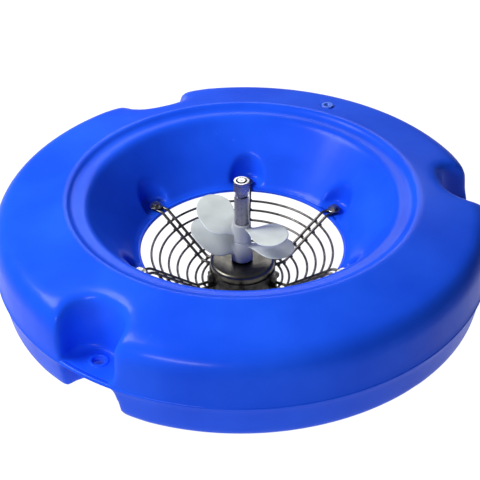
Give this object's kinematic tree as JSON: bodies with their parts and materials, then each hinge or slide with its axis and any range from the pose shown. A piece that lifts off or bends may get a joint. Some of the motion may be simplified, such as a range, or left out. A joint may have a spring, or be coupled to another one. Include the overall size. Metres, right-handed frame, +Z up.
{
  "type": "floating impeller aerator",
  "caption": "Ring-shaped blue float with a dished wire guard that carries an upright submersible motor, whose long shaft turns two broad propellers in the float's funnel.",
  "frame": {"origin": "centre of the motor's foot, on the shaft's axis", "axes": "+Z up along the shaft, the picture looks along +Y with +X to the right"},
  "size_m": [0.8638, 0.8639, 0.446],
  "materials": {
    "float_plastic": "blue moulded polyethylene with a soft sheen",
    "plug_plastic": "blue moulded plastic",
    "guard_wire": "drawn stainless wire, slightly tarnished",
    "fastener_steel": "plain stainless steel",
    "collar_steel": "welded stainless strip",
    "motor_steel": "turned stainless steel",
    "seal_rubber": "black nitrile rubber",
    "bearing_steel": "ground bearing steel",
    "seal_ceramic": "lapped white ceramic",
    "core_steel": "pressed electrical steel",
    "winding_copper": "varnished copper",
    "shaft_steel": "ground stainless bar",
    "propeller_plastic": "light grey moulded nylon",
    "gland_brass": "nickel-plated brass"
  },
  "bodies": {
    "housing": {"float_body": "float_plastic", "mooring_web_1": "float_plastic", "mooring_web_2": "float_plastic", "mooring_web_3": "float_plastic", "filling_plug": "plug_plastic", "arm_washers": "fastener_steel", "arm_bolts": "fastener_steel", "arm_nuts": "fastener_steel", "motor_collar": "collar_steel", "collar_bolts": "fastener_steel", "motor_shell": "motor_steel", "motor_cap": "motor_steel", "motor_base": "motor_steel", "base_screws": "fastener_steel", "shell_orings": "seal_rubber", "upper_bearing_outer_ring": "bearing_steel", "lower_bearing_outer_ring": "bearing_steel", "seal_seat": "seal_ceramic", "stator_core": "core_steel", "stator_winding": "winding_copper", "gland_body": "gland_brass", "gland_nut": "gland_brass", "gland_seal": "seal_rubber", "guard_arm_1": "guard_wire", "guard_arm_2": "guard_wire", "guard_arm_3": "guard_wire", "guard_arm_4": "guard_wire", "guard_arm_5": "guard_wire", "guard_arm_6": "guard_wire", "guard_ring_1": "guard_wire", "guard_ring_2": "guard_wire", "guard_ring_3": "guard_wire", "guard_ring_4": "guard_wire", "guard_ring_5": "guard_wire", "guard_ring_6": "guard_wire", "guard_ring_7": "guard_wire"},
    "rotor": {"shaft": "shaft_steel", "rotor_core": "core_steel", "upper_bearing_inner_ring": "bearing_steel", "lower_bearing_inner_ring": "bearing_steel", "seal_head": "seal_rubber", "drive_key": "shaft_steel", "lower_propeller": "propeller_plastic", "upper_propeller": "propeller_plastic", "shaft_sleeve": "shaft_steel", "clamp_bush": "shaft_steel", "spring_washer": "fastener_steel", "lock_nut": "fastener_steel"}
  },
  "joints": [
    {"name": "rotor_spin", "type": "hinge", "parent": "housing", "child": "rotor", "pos_m": [0, 0, 0.2], "axis": [0, 0, 1], "continuous": true}
  ]
}
